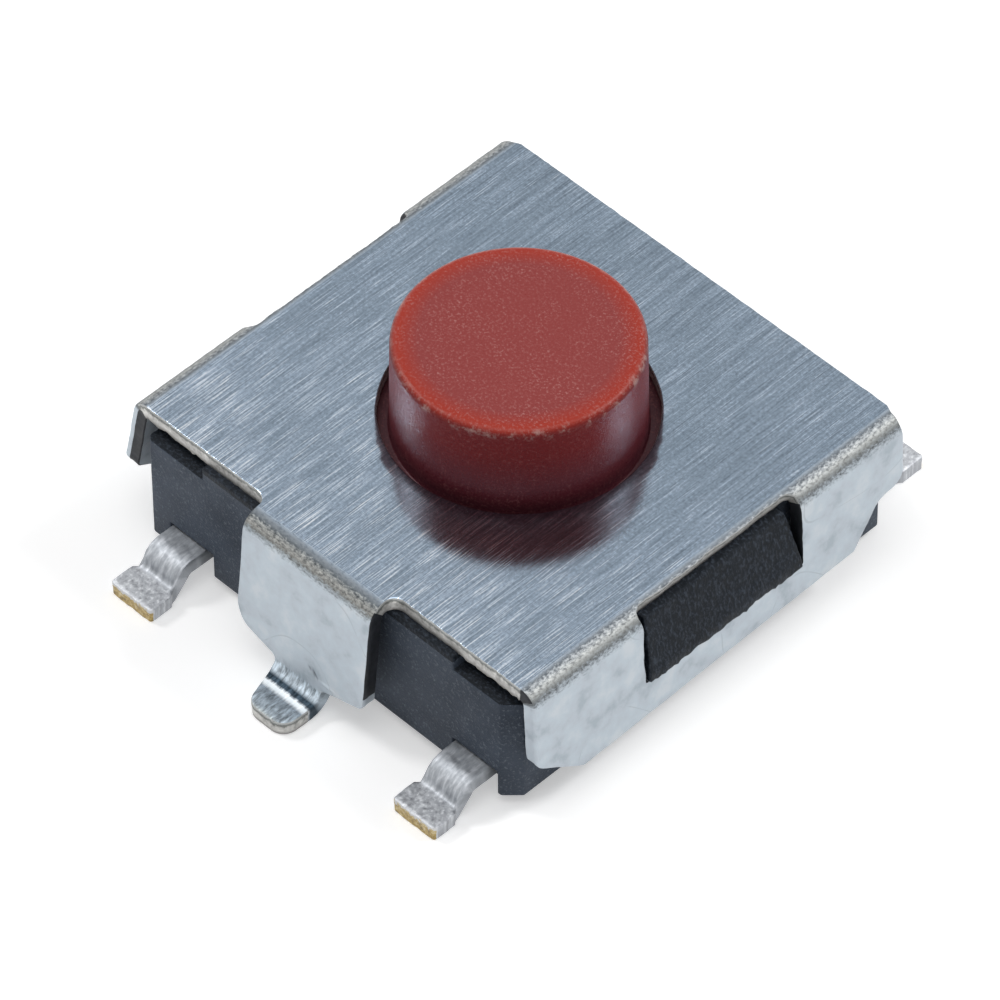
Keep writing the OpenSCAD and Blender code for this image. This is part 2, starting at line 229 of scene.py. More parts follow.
def roughened(points, rough, seed):
    """The outline with the small unevenness of a sheared edge"""
    sides = inward(points)
    return [
        p + s * rough(p) * (grain(p.x, p.y, 0.22, seed) + 0.5 * grain(p.x, p.y, 0.06, seed + 3))
        for p, s in zip(points, sides)
    ]


def crossings(points, loops):
    """Which of the points lie inside the loops, counted by crossings"""
    inside = np.zeros(len(points), bool)
    for loop in loops:
        a = np.array([p[:] for p in loop])
        b = np.roll(a, -1, axis=0)
        for (ax, ay), (bx, by) in zip(a, b):
            if ay == by:
                continue
            cross = (points[:, 1] < ay) != (points[:, 1] < by)
            inside ^= cross & (points[:, 0] < ax + (points[:, 1] - ay) * (bx - ax) / (by - ay))
    return inside


def follow(path, distance, depth):
    """Where a point of a bent sheet lies: how far out and how high, at a distance along its top face
    and a depth in it. The path lists stretches as (length, radius of the top face): 0 is flat,
    above 0 bends down and below 0 bends up."""
    out = high = slope = 0.0
    for length, radius in path:
        stretch = min(distance, length)
        if radius:
            end = slope + stretch / radius
            out += radius * (math.sin(end) - math.sin(slope))
            high += radius * (math.cos(end) - math.cos(slope))
            slope = end
        else:
            out += stretch * math.cos(slope)
            high -= stretch * math.sin(slope)
        distance -= stretch
        if distance <= 0:
            break
    return out - depth * math.sin(slope), high - depth * math.cos(slope)


def new_piece(name, verts, faces, body, node, materials, indices=None):
    """A mesh piece from points in millimetres, which rides on its body and stands for its node"""
    mesh = bpy.data.meshes.new(name)
    mesh.from_pydata([Vector(v) * MM for v in verts], [], faces)
    for material in materials:
        mesh.materials.append(material)
    if indices is not None:
        mesh.polygons.foreach_set("material_index", indices)
    mesh.update()
    piece = bpy.data.objects.new(name, mesh)
    bpy.context.scene.collection.objects.link(piece)
    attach(piece, body)
    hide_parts(node)
    return piece


def shade(piece, angle):
    """Smooth faces, with a crease where they meet at more than the angle in degrees"""
    piece.data.polygons.foreach_set("use_smooth", [True] * len(piece.data.polygons))
    piece.data.set_sharp_from_angle(angle=math.radians(angle))


def folded_sheet(
    name, loops, inner, place, fold, thickness, ease, node, materials, cut, burr, nicks,
):
    """A sheet cut to its loops, the outer one anticlockwise and holes clockwise, then folded by place.
    Its cut edges are eased at the top, take the material that cut says, and hang down below by what
    burr says. Each point keeps its place on the flat sheet, how it was folded and how deep it is
    nicked as attributes."""
    sides = [inward(loop) for loop in loops]
    inset = [[p + s * ease for p, s in zip(loop, side)] for loop, side in zip(loops, sides)]
    flat = [p for loop in inset for p in loop]
    edges = []
    start = 0
    for loop in inset:
        edges += [(start + i, start + (i + 1) % len(loop)) for i in range(len(loop))]
        start += len(loop)
    # Inner points that lie outside the loops, or too near them for their room, are left out
    inner = np.array(inner)
    inner = inner[crossings(inner[:, :2], inset)]
    tree = KDTree(len(flat))
    for i, p in enumerate(flat):
        tree.insert((p.x, p.y, 0), i)
    tree.balance()
    flat += [Vector((u, v)) for u, v, room in inner if tree.find((u, v, 0))[2] > 0.6 * room]
    points, _, faces, origin, _, _ = geometry.delaunay_2d_cdt(flat, edges, [], 0, 1e-6)
    found = {source: i for i, sources in enumerate(origin) for source in sources}
    middles = np.array([(sum((points[i] for i in f), Vector((0, 0))) / len(f))[:] for f in faces])
    keep = crossings(middles, inset)
    faces = [list(f) for f, k in zip(faces, keep) if k]

    blank = [(p.x, p.y, 0.0) for p in points] + [(p.x, p.y, thickness) for p in points]
    under = len(points)
    mesh_faces = faces + [[under + i for i in reversed(f)] for f in faces]
    indices = [0] * len(mesh_faces)
    # Each ring round the cut edge: distance inwards, depth, and its share of the burr
    rings = [
        (ease * 0.3, ease * 0.3, 0),
        (0, ease, 0),
        (0, thickness * 0.35, 0),
        (ease * 0.3, thickness * 0.5, 0.3),
        (ease * 0.3, thickness - ease * 0.4, 1),
        (ease * 0.8, thickness, 0.9),
    ]
    start = 0
    for loop, side in zip(loops, sides):
        top = [found[start + i] for i in range(len(loop))]
        rows = [top]
        drops = [
            burr(p) * (0.35 + grain(p.x, p.y, 0.11, 2.2) + 0.7 * grain(p.x, p.y, 0.045, 9.2)) for p in loop
        ]
        for shift, depth, share in rings:
            rows.append(list(range(len(blank), len(blank) + len(loop))))
            for p, s, drop in zip(loop, side, drops):
                q = p + s * shift
                blank.append((q.x, q.y, depth + share * drop))
        rows.append([under + i for i in top])
        for k in range(len(rows) - 1):
            for i in range(len(loop)):
                j = (i + 1) % len(loop)
                mesh_faces.append([rows[k][j], rows[k][i], rows[k + 1][i], rows[k + 1][j]])
                indices.append(cut(loop[i], k) if k else 0)
        start += len(loop)
    verts = [place(*b) for b in blank]
    piece = new_piece(name, verts, mesh_faces, "housing", node, materials, indices)
    for label, rows in (("blank", blank), ("fold", [fold(u, v) for u, v, _ in blank])):
        data = piece.data.attributes.new(label, "FLOAT_VECTOR", "POINT").data
        data.foreach_set("vector", np.array(rows, np.float32).ravel())
    data = piece.data.attributes.new("nicks", "FLOAT", "POINT").data
    data.foreach_set("value", [nicks(u, v) for u, v, _ in blank])
    shade(piece, 38)


def grid(us, vs, room):
    """Points inside a sheet, each with the room it takes from its neighbours"""
    return [(u, v, room) for u in us for v in vs]


def span(start, end, step):
    """Evenly spaced values from start to end, about a step apart"""
    return list(np.linspace(start, end, max(2, math.ceil(abs(end - start) / step) + 1)))


# Materials

# Nearly all of a noise lies between these two values
NOISE_RANGE = {"From Min": 0.3, "From Max": 0.7}


def linear_colour(text):
    """An sRGB hex colour as the linear colour that a shader takes"""
    parts = [int(text[i:i + 2], 16) / 255 for i in (1, 3, 5)]
    return tuple(p / 12.92 if p <= 0.04045 else ((p + 0.055) / 1.055) ** 2.4 for p in parts) + (1.0,)


def add(tree, kind, inputs, **settings):
    """Adds a shader node with its settings and links. An input is a number, a vector, a hex colour, a
    socket, or a node that feeds it from its first socket in use. Inputs go by name, or by number where
    names repeat: a Mix node takes its factor at 0, and what it mixes at 2 and 3 for numbers, at 4 and
    5 for vectors, and at 6 and 7 for colours."""
    node = tree.nodes.new("ShaderNode" + kind)
    for name, value in settings.items():
        if name == "ramp":
            stops = node.color_ramp.elements
            while len(stops) < len(value):
                stops.new(1.0)
            for stop, (place, colour) in zip(stops, value):
                stop.position = place
                stop.color = linear_colour(colour)
        else:
            setattr(node, name, value)
    for name, value in inputs.items():
        if isinstance(value, bpy.types.Node):
            value = next(socket for socket in value.outputs if socket.enabled)
        if isinstance(value, bpy.types.NodeSocket):
            tree.links.new(value, node.inputs[name])
        elif isinstance(value, str):
            node.inputs[name].default_value = linear_colour(value)
        else:
            node.inputs[name].default_value = value
    return node


def make_material(name, build, *looks):
    """A material whose surface the build function makes in its tree of nodes"""
    material = bpy.data.materials.new(name)
    material.use_nodes = True
    tree = material.node_tree
    tree.nodes.clear()
    add(tree, "OutputMaterial", {"Surface": build(tree, *looks)})
    return material


def per(*sizes):
    """The scale that gives a pattern its size along each axis"""
    return tuple(1 / size for size in sizes)


def tin_plated_steel(tree):
    """Tin-plated steel sheet. The plate was brushed along Y, which draws fine white and dark lines on
    its blue-grey, and painted light makes it lighter toward the near edge. The flanges and the tab
    keep the smooth pale plating, with stains, pits, faint scratches and a few nicks. The bends are
    stretched, which opens the plating in bright and dark grains, laid over painted stripes of
    highlight and shade that follow each bend. The foot is drawn out in streaks, with a painted dark
    and white band of shade and highlight over its bend."""
    blank = add(tree, "Attribute", {}, attribute_name="blank").outputs["Vector"]
    fold = add(tree, "Attribute", {}, attribute_name="fold").outputs["Vector"]
    turn, tab, past_foot = add(tree, "SeparateXYZ", {0: fold}).outputs

    # Patterns on the flat sheet: shift, size of a grain in millimetres, detail and roughness. They are
    # brush lines, broader strokes, clouds, sand, pits, and the streaks of the foot.
    patterns = []
    for shift, size, detail, roughness in (
        ((3, 1, 0), (0.013, 0.6, 1), 2, 0.6),
        ((8, 4, 0), (0.05, 1.6, 1), 4, 0.7),
        ((2, 7, 0), (1.2, 1.5, 1), 3, 0.55),
        ((5, 9, 0), (0.035, 0.04, 1), 4, 0.8),
        ((1, 3, 0), (0.09, 0.11, 1), 2, 0.5),
        ((6, 2, 0), (0.04, 0.16, 1), 3, 0.65),
    ):
        sized = add(tree, "Mapping", {"Vector": blank, "Location": shift, "Scale": per(*size)})
        patterns.append(add(tree, "TexNoise", {
            "Vector": sized, "Scale": 1, "Detail": detail, "Roughness": roughness,
        }))
    lines, strokes, haze, specks, pits, streaks = patterns

    # Plate: where the clouds allow it, the brush cut down to white metal, and painted light lifts more of it
    # to white toward the near edge
    v = add(tree, "SeparateXYZ", {0: blank}).outputs[1]
    # Painted light: the plate grows lighter towards the near edge
    painted_near_light = add(tree, "MapRange", {
        "Value": v, "From Min": 1.0, "From Max": -2.85, "To Min": -0.05, "To Max": 0.07,
    })
    clouds_and_painted_light = add(tree, "MapRange", {"Value": haze, **NOISE_RANGE, "To Min": 0.015, "To Max": -0.015})
    clouds_and_painted_light = add(tree, "Math", {0: clouds_and_painted_light, 1: painted_near_light}, operation="ADD")
    cuts = add(tree, "Math", {0: lines, 1: clouds_and_painted_light}, operation="ADD")
    brushed = add(tree, "ValToRGB", {0: cuts}, ramp=(
        (0.30, "#5f6c7a"), (0.42, "#7b8997"), (0.54, "#8896a5"),
        (0.62, "#a6b3c3"), (0.68, "#d2dce7"), (0.76, "#fbfcfd"),
    ))
    stroked = add(tree, "ValToRGB", {0: strokes}, ramp=(
        (0.32, "#687481"), (0.46, "#808e9c"), (0.56, "#93a3b4"), (0.68, "#c0cddc"),
    ))
    plate = add(tree, "Mix", {0: 0.36, 6: brushed, 7: stroked}, data_type="RGBA")
    sand = add(tree, "ValToRGB", {0: specks}, ramp=((0.3, "#787878"), (0.5, "#bcbcbc"), (0.7, "#f4f4f4")))
    plate = add(tree, "Mix", {0: 0.55, 6: plate, 7: sand}, data_type="RGBA", blend_type="OVERLAY")
    dull = add(tree, "MapRange", {"Value": haze, "From Min": 0.35, "From Max": 0.7, "To Max": 0.2})
    plate = add(tree, "Mix", {0: dull, 6: plate, 7: "#7c8a97"}, data_type="RGBA")

    # Smooth plating: stains 0.4 mm across, which are 2.6 to the millimetre, small dark pits and nicks
    stains = add(tree, "TexNoise", {"Vector": blank, "Scale": 2.6, "Detail": 4, "Roughness": 0.6})
    smooth_plating = add(tree, "ValToRGB", {0: stains}, ramp=(
        (0.34, "#a8b1b8"), (0.44, "#b6bdc4"), (0.54, "#b9c2c9"), (0.66, "#c2c8cd"),
    ))
    # Faint scratches from handling, 0.02 mm wide and 1.4 mm apart, where the stains allow them
    ways = add(tree, "TexNoise", {"Vector": blank, "Scale": 0.7, "Detail": 0})
    on_line = add(tree, "Math", {0: ways, 1: 0.52, 2: 0.003}, operation="COMPARE")
    scratched = add(tree, "MapRange", {"Value": stains, "From Min": 0.46, "From Max": 0.56, "To Max": 0.3})
    scratched = add(tree, "Math", {0: on_line, 1: scratched}, operation="MULTIPLY")
    pitted = add(tree, "MapRange", {"Value": pits, "From Min": 0.76, "From Max": 0.82, "To Max": 0.4})
    nicked = add(tree, "Attribute", {}, attribute_name="nicks").outputs["Fac"]
    for share, dark in ((scratched, "#8a9097"), (pitted, "#7b858d"), (nicked, "#4a4f55")):
        smooth_plating = add(tree, "Mix", {0: share, 6: smooth_plating, 7: dark}, data_type="RGBA")

    # Bends: grains 0.03 mm across and 0.055 mm along the bend, over painted stripes of highlight and shade
    # that follow it
    grain_way = add(tree, "Mix", {
        0: tab, 4: per(0.03, 0.055, 1), 5: per(0.055, 0.03, 1),
    }, data_type="VECTOR")
    peel = add(tree, "VectorMath", {0: blank, 1: grain_way}, operation="MULTIPLY")
    peel = add(tree, "TexNoise", {"Vector": peel, "Scale": 1, "Detail": 3, "Roughness": 0.7})
    sway = add(tree, "MapRange", {"Value": peel, **NOISE_RANGE, "To Min": -0.1, "To Max": 0.1})
    across = add(tree, "Math", {0: turn, 1: sway}, operation="ADD")
    side_bend_painted_light = add(tree, "ValToRGB", {0: across}, ramp=(
        (0.02, "#a3adb7"), (0.12, "#656b71"), (0.24, "#8b8f92"), (0.40, "#9a9c9b"),
        (0.54, "#828585"), (0.66, "#73787c"), (0.78, "#868d92"), (0.90, "#a9b1b7"),
    ))
    tab_bend_painted_light = add(tree, "ValToRGB", {0: across}, ramp=(
        (0.02, "#8f9aa5"), (0.16, "#70767c"), (0.30, "#595e62"), (0.42, "#7f8180"),
        (0.58, "#8b8b88"), (0.70, "#757877"), (0.80, "#6f7578"), (0.90, "#a6aeb3"),
    ))
    bend_grain_and_painted_light = add(tree, "Mix", {0: tab, 6: side_bend_painted_light, 7: tab_bend_painted_light}, data_type="RGBA")
    flecks = add(tree, "ValToRGB", {0: peel}, ramp=((0.34, "#787878"), (0.5, "#bcbcbc"), (0.66, "#e6e6e6")))
    bend_grain_and_painted_light = add(tree, "Mix", {0: 0.8, 6: bend_grain_and_painted_light, 7: flecks}, data_type="RGBA", blend_type="OVERLAY")
    folded = add(tree, "MapRange", {"Value": turn, "From Max": 0.06})
    flat_again = add(tree, "MapRange", {"Value": across, "From Min": 0.62, "From Max": 0.9})

    # Foot: a dark and a white band drawn out over its bend, painted shade and a painted highlight, then
    # streaked plating, yellow at the end
    drift = add(tree, "MapRange", {"Value": streaks, **NOISE_RANGE, "To Min": -0.008, "To Max": 0.008})
    along = add(tree, "Math", {0: past_foot, 1: drift}, operation="ADD")
    foot = add(tree, "ValToRGB", {0: along}, ramp=(
        (0.13, "#a9b3bb"), (0.19, "#323e48"), (0.24, "#4b5863"), (0.28, "#f1f4f6"),
        (0.32, "#e4e8ea"), (0.37, "#7f8890"), (0.60, "#98a1a8"), (0.72, "#9fa091"),
    ))
    sheen = add(tree, "ValToRGB", {0: streaks}, ramp=((0.36, "#4f4f4f"), (0.5, "#bcbcbc"), (0.66, "#ffffff")))
    foot = add(tree, "Mix", {0: 0.6, 6: foot, 7: sheen}, data_type="RGBA", blend_type="OVERLAY")
    on_foot = add(tree, "MapRange", {"Value": past_foot, "From Max": 0.03})

    # The four looks laid over each other, each from where it begins
    colour = plate
    for share, look in ((folded, bend_grain_and_painted_light), (flat_again, smooth_plating), (on_foot, foot)):
        colour = add(tree, "Mix", {0: share, 6: colour, 7: look}, data_type="RGBA")
    rough = add(tree, "MapRange", {"Value": lines, **NOISE_RANGE, "To Min": 0.09, "To Max": 0.18})
    rough = add(tree, "Mix", {0: folded, 2: rough, 3: 0.6})
    height = add(tree, "Mix", {0: folded, 2: lines, 3: peel})
    height = add(tree, "Mix", {0: flat_again, 2: height, 3: haze})
    relief = add(tree, "Mix", {0: folded, 2: 0.0012 * MM, 3: 0.003 * MM})
    bump = add(tree, "Bump", {"Strength": 0.35, "Distance": relief, "Height": height})
    return add(tree, "BsdfPrincipled", {
        "Base Color": colour, "Metallic": 1.0, "Roughness": rough, "Normal": bump,
    })


def sheared_steel(tree):
    """The cut edge of the steel sheet, sheared by the punch: matt, cream-grey and torn near its lower
    side, with a thin darker line under the rolled-over upper side"""
    blank = add(tree, "Attribute", {}, attribute_name="blank").outputs["Vector"]
    # Tears 0.06 mm across and 0.09 mm deep
    torn = add(tree, "Mapping", {"Vector": blank, "Location": (4, 4, 0), "Scale": per(0.06, 0.06, 0.09)})
    torn = add(tree, "TexNoise", {"Vector": torn, "Scale": 1, "Detail": 3, "Roughness": 0.65})
    colour = add(tree, "ValToRGB", {0: torn}, ramp=(
        (0.32, "#a3a29f"), (0.46, "#c1c0bd"), (0.6, "#d0cfcc"), (0.72, "#e6e5e1"),
    ))
    depth = add(tree, "SeparateXYZ", {0: blank}).outputs[2]
    ragged = add(tree, "MapRange", {"Value": torn, **NOISE_RANGE, "To Min": -0.02, "To Max": 0.02})
    ragged = add(tree, "Math", {0: depth, 1: ragged}, operation="ADD")
    lip = add(tree, "ValToRGB", {0: ragged}, ramp=(
        (0.02, "#eceff1"), (0.035, "#9da2a3"), (0.055, "#b4b6b4"),
        (0.08, "#ffffff"), (0.15, "#ffffff"), (0.19, "#b2b0b0"),
    ))
    colour = add(tree, "Mix", {0: 1.0, 6: colour, 7: lip}, data_type="RGBA", blend_type="MULTIPLY")
    bump = add(tree, "Bump", {"Strength": 0.5, "Distance": 0.008 * MM, "Height": torn})
    return add(tree, "BsdfPrincipled", {
        "Base Color": colour, "Metallic": 0.7, "Roughness": 0.55, "Normal": bump,
    })


def painted_shade_steel(tree):
    """Cut edges of the steel sheet that face the dark base: near-black painted shade, mottled in patches
    of 0.08 mm, which are 12 to the millimetre"""
    blank = add(tree, "Attribute", {}, attribute_name="blank").outputs["Vector"]
    # Painted shade: a near-black colour, mottled
    shade_mottle = add(tree, "TexNoise", {"Vector": blank, "Scale": 12, "Detail": 3})
    colour = add(tree, "ValToRGB", {0: shade_mottle}, ramp=((0.35, "#14181c"), (0.7, "#2b2d33")))
    return add(tree, "BsdfPrincipled", {"Base Color": colour, "Metallic": 0.4, "Roughness": 0.5})


def moulded_nylon(tree, dark, light, speck, grit, bare):
    """Glass-filled nylon, moulded: dark and satin, and cloudy over 0.8 mm. Pale specks of glass and
    dust show in its skin, in grains of the given size along x, y and z, and fewer the higher bare is."""
    place = add(tree, "TexCoord", {}).outputs["Object"]
    grains = add(tree, "Mapping", {"Vector": place, "Scale": per(*(size * MM for size in grit))})
    fine = add(tree, "TexNoise", {"Vector": grains, "Scale": 1, "Detail": 3, "Roughness": 0.7})
    broad = add(tree, "TexNoise", {"Vector": place, "Scale": 1 / (0.8 * MM), "Detail": 3, "Roughness": 0.55})
    colour = add(tree, "ValToRGB", {0: broad}, ramp=((0.3, dark), (0.7, light)))
    glass = add(tree, "MapRange", {"Value": fine, "From Min": bare, "From Max": bare + 0.18, "To Max": 0.6})
    colour = add(tree, "Mix", {0: glass, 6: colour, 7: speck}, data_type="RGBA")
    rough = add(tree, "MapRange", {"Value": fine, **NOISE_RANGE, "To Min": 0.45, "To Max": 0.6})
    bump = add(tree, "Bump", {"Strength": 0.8, "Distance": 0.4 * grit[1] * MM, "Height": fine})
    return add(tree, "BsdfPrincipled", {
        "Base Color": colour, "Roughness": rough, "IOR": 1.53, "Specular IOR Level": 0.14, "Normal": bump,
    })


def plated_brass(tree):
    """Silver-plated brass strip, stamped: pale satin metal with soft streaks along the lead, and small
    grey pits where the feet were flattened"""
    blank = add(tree, "Attribute", {}, attribute_name="blank").outputs["Vector"]
    fold = add(tree, "Attribute", {}, attribute_name="fold").outputs["Vector"]
    on_foot = add(tree, "SeparateXYZ", {0: fold}).outputs[0]
    # Streaks 0.05 mm wide and 0.2 mm long, and pits 0.05 mm across
    rub = add(tree, "Mapping", {"Vector": blank, "Location": (3, 1, 0), "Scale": per(0.05, 0.2, 1)})
    rub = add(tree, "TexNoise", {"Vector": rub, "Scale": 1, "Detail": 3, "Roughness": 0.6})
    pits = add(tree, "Mapping", {"Vector": blank, "Location": (9, 5, 0), "Scale": per(0.045, 0.055, 1)})
    pits = add(tree, "TexNoise", {"Vector": pits, "Scale": 1, "Detail": 3, "Roughness": 0.65})
    drawn = add(tree, "ValToRGB", {0: rub}, ramp=((0.32, "#8f9297"), (0.5, "#a0a4a9"), (0.66, "#babdc2")))
    pitted = add(tree, "ValToRGB", {0: pits}, ramp=(
        (0.34, "#94969a"), (0.42, "#a9abb0"), (0.54, "#b6b9bd"), (0.7, "#d8dadd"),
    ))
    colour = add(tree, "Mix", {0: on_foot, 6: drawn, 7: pitted}, data_type="RGBA")
    height = add(tree, "Mix", {0: on_foot, 2: rub, 3: pits})
    rough = add(tree, "MapRange", {"Value": pits, **NOISE_RANGE, "To Min": 0.48, "To Max": 0.62})
    bump = add(tree, "Bump", {"Strength": 0.35, "Distance": 0.006 * MM, "Height": height})
    return add(tree, "BsdfPrincipled", {
        "Base Color": colour, "Metallic": 1.0, "Roughness": rough, "Normal": bump,
    })


def cut_brass(tree):
    """The cut ends of the leads, where no plating covers the brass: yellow and tarnished in places,
    with the plating smeared over their upper edge"""
    blank = add(tree, "Attribute", {}, attribute_name="blank").outputs["Vector"]
    # Tarnish in spots of 0.06 mm
    tarnish = add(tree, "Mapping", {"Vector": blank, "Location": (3, 3, 3), "Scale": per(0.06, 1, 0.06)})
    tarnish = add(tree, "TexNoise", {"Vector": tarnish, "Scale": 1, "Detail": 3, "Roughness": 0.6})
    colour = add(tree, "ValToRGB", {0: tarnish}, ramp=(
        (0.35, "#7d6f52"), (0.5, "#ab9560"), (0.65, "#c6bb9a"),
    ))
    depth = add(tree, "SeparateXYZ", {0: blank}).outputs[2]
    ragged = add(tree, "MapRange", {"Value": tarnish, **NOISE_RANGE, "To Min": -0.05, "To Max": 0.05})
    ragged = add(tree, "Math", {0: depth, 1: ragged}, operation="ADD")
    smear = add(tree, "MapRange", {"Value": ragged, "From Min": 0.05, "From Max": 0.03})
    colour = add(tree, "Mix", {0: smear, 6: colour, 7: "#c4c5c7"}, data_type="RGBA")
    return add(tree, "BsdfPrincipled", {"Base Color": colour, "Metallic": 0.9, "Roughness": 0.45})


def red_nylon(tree):
    """Moulded red nylon. Its sides are glossy and deep red, with painted shade that darkens them toward
    the cover. The top has a fine matt skin that dust and rubbing turn paler, a painted orange
    highlight round its rim, and its edge is scuffed to white."""
    place = add(tree, "TexCoord", {}).outputs["Object"]
    x, y, z = add(tree, "SeparateXYZ", {0: place}).outputs
    flat_place = add(tree, "CombineXYZ", {0: x, 1: y})
    radius = add(tree, "VectorMath", {0: flat_place}, operation="LENGTH").outputs["Value"]
    # Where the looks begin and end, in millimetres: the top face, the painted shade on the side above the
    #     cover and the edge by their height, then the top's rim with its painted highlight and the outside
    #     by their distance from the axis
    zones = []
    for measure, start, end in (
        (z, button_high.z - 0.05, button_high.z - 0.008),
        (z, COVER_TOP - 0.1, COVER_TOP + 0.7),
        (z, button_high.z - 0.16, button_high.z - 0.08),
        (radius, STEM_TOP_R - 0.3, STEM_TOP_R - 0.1),
        (radius, STEM_TOP_R - 0.07, STEM_TOP_R - 0.02),
    ):
        zones.append(add(tree, "MapRange", {"Value": measure, "From Min": start * MM, "From Max": end * MM}))
    top, above_painted_shade, edge, rim, outside = zones
    # Painted shade: the side turns dark towards the cover
    side_red_and_painted_shade = add(tree, "Mix", {0: above_painted_shade, 6: "#552630", 7: "#76110e"}, data_type="RGBA")
    # Painted highlight: the top turns orange-red towards its rim
    dusty_top_and_painted_rim_highlight = add(tree, "Mix", {0: rim, 6: "#8c3937", 7: "#a03122"}, data_type="RGBA")
    colour = add(tree, "Mix", {0: top, 6: side_red_and_painted_shade, 7: dusty_top_and_painted_rim_highlight}, data_type="RGBA")
    # Dust in grains of 0.03 mm, in clouds of 0.5 mm
    dust = add(tree, "TexNoise", {
        "Vector": place, "Scale": 1 / (0.032 * MM), "Detail": 3, "Roughness": 0.75,
    })
    haze = add(tree, "TexNoise", {"Vector": place, "Scale": 1 / (0.5 * MM), "Detail": 3, "Roughness": 0.6})
    grains = add(tree, "MapRange", {"Value": dust, "From Min": 0.52, "From Max": 0.72, "To Max": 0.8})
    clouds = add(tree, "MapRange", {"Value": haze, "From Min": 0.35, "From Max": 0.65, "To Min": 0.35})
    pale = add(tree, "Math", {0: grains, 1: clouds}, operation="MULTIPLY")
    lying = add(tree, "MapRange", {"Value": top, "To Min": 0.45})
    pale = add(tree, "Math", {0: pale, 1: lying}, operation="MULTIPLY")
    colour = add(tree, "Mix", {0: pale, 6: colour, 7: "#b9827e"}, data_type="RGBA")
    # Scuffs 0.13 mm long where the edge turns over
    edge = add(tree, "Math", {0: edge, 1: outside}, operation="MULTIPLY")
    scuffs = add(tree, "TexNoise", {
        "Vector": place, "Scale": 1 / (0.13 * MM), "Detail": 5, "Roughness": 0.75,
    })
    scuffs = add(tree, "MapRange", {"Value": scuffs, "From Min": 0.5, "From Max": 0.66, "To Max": 0.6})
    scuffs = add(tree, "Math", {0: scuffs, 1: edge}, operation="MULTIPLY")
    colour = add(tree, "Mix", {0: scuffs, 6: colour, 7: "#c3a39c"}, data_type="RGBA")
    rough = add(tree, "MapRange", {"Value": dust, **NOISE_RANGE, "To Min": 0.24, "To Max": 0.5})
    bump = add(tree, "Bump", {"Strength": 0.7, "Distance": 0.005 * MM, "Height": dust})
    return add(tree, "BsdfPrincipled", {
        "Base Color": colour, "Roughness": rough, "IOR": 1.53, "Specular IOR Level": 0.22, "Normal": bump,
    })


def spring_steel(tree):
    """Stainless spring steel, rolled bright, with faint rolling lines 0.03 mm wide"""
    place = add(tree, "TexCoord", {}).outputs["Object"]
    rolled = add(tree, "Mapping", {"Vector": place, "Scale": per(0.03 * MM, 1.2 * MM, 0.5 * MM)})
    rolled = add(tree, "TexNoise", {"Vector": rolled, "Scale": 1, "Detail": 2})
    colour = add(tree, "ValToRGB", {0: rolled}, ramp=((0.3, "#b4b8bb"), (0.7, "#d3d6d8")))
    rough = add(tree, "MapRange", {"Value": rolled, **NOISE_RANGE, "To Min": 0.18, "To Max": 0.28})
    return add(tree, "BsdfPrincipled", {"Base Color": colour, "Metallic": 1.0, "Roughness": rough})


def polyimide_film(tree):
    """Amber polyimide film: clear and glossy, with a slight cloudiness over 0.6 mm"""
    place = add(tree, "TexCoord", {}).outputs["Object"]
    broad = add(tree, "TexNoise", {"Vector": place, "Scale": 1 / (0.6 * MM), "Detail": 2})
    colour = add(tree, "ValToRGB", {0: broad}, ramp=((0.3, "#a86a1d"), (0.7, "#bd7c2a")))
    return add(tree, "BsdfPrincipled", {
        "Base Color": colour, "Roughness": 0.2, "IOR": 1.7, "Transmission Weight": 0.35,
    })


# The sheet cover

# The way down each side, the tab and the lead as follow() reads it. Each ends in a length that is
# never reached.
BEYOND = (9, 0)
TOP_PATHS = {
    side: [(TOP_BEND * (math.pi / 2 - lean), TOP_BEND), BEYOND] for side, lean in LEAN.items()
}
TAB_LEG = (BEND_Z + (TOP_BEND + FOOT_BEND) * math.sin(TAB_LEAN) - SHEET - FOOT_BEND) / math.cos(TAB_LEAN)
TAB_OUT = TAB_FACE - TOP_BEND - PLATE_HALF_D
QUARTER = math.pi / 2 - TAB_LEAN
TAB_PATH = [
    (TAB_OUT, 0), (TOP_BEND * QUARTER, TOP_BEND), (TAB_LEG, 0), (FOOT_BEND * QUARTER, -FOOT_BEND), BEYOND,
]


def flange_u(z, side):
    """Distance from the middle, on the flat sheet, of a height on a side flange"""
    lean = LEAN[side]
    start = PLATE_HALF_W + TOP_PATHS[side][0][0]
    return start + (BEND_Z + TOP_BEND * math.sin(lean) - z) / math.cos(lean)


def tab_v(z):
    """The same for a height on the ground tab"""
    start = PLATE_HALF_D + TAB_OUT + TAB_PATH[1][0]
    return -start - (BEND_Z + TOP_BEND * math.sin(TAB_LEAN) - z) / math.cos(TAB_LEAN)


# Nicks above the ground foot: where they begin on the flat sheet, where the raised lip beside them
# lies, and each nick's place along u, place along v, slant, length and depth
NICK_U = 0.17
NICK_V = tab_v(0.53)
LIP_U = NICK_U + 0.27
LIP_V = NICK_V - 0.05
NICKS = ((0.0, 0.03, -0.5, 0.03, 0.6), (0.06, 0.0, -0.3, 0.05, 0.7), (0.1, -0.02, -0.6, 0.04, 0.5))


def foot_v():
    """The end of the ground foot on the flat sheet"""
    flat_start = sum(length for length, _ in TAB_PATH[:4])
    out, _ = follow(TAB_PATH, flat_start, 0)
    return -PLATE_HALF_D - flat_start - (FOOT_END - PLATE_HALF_D - out)


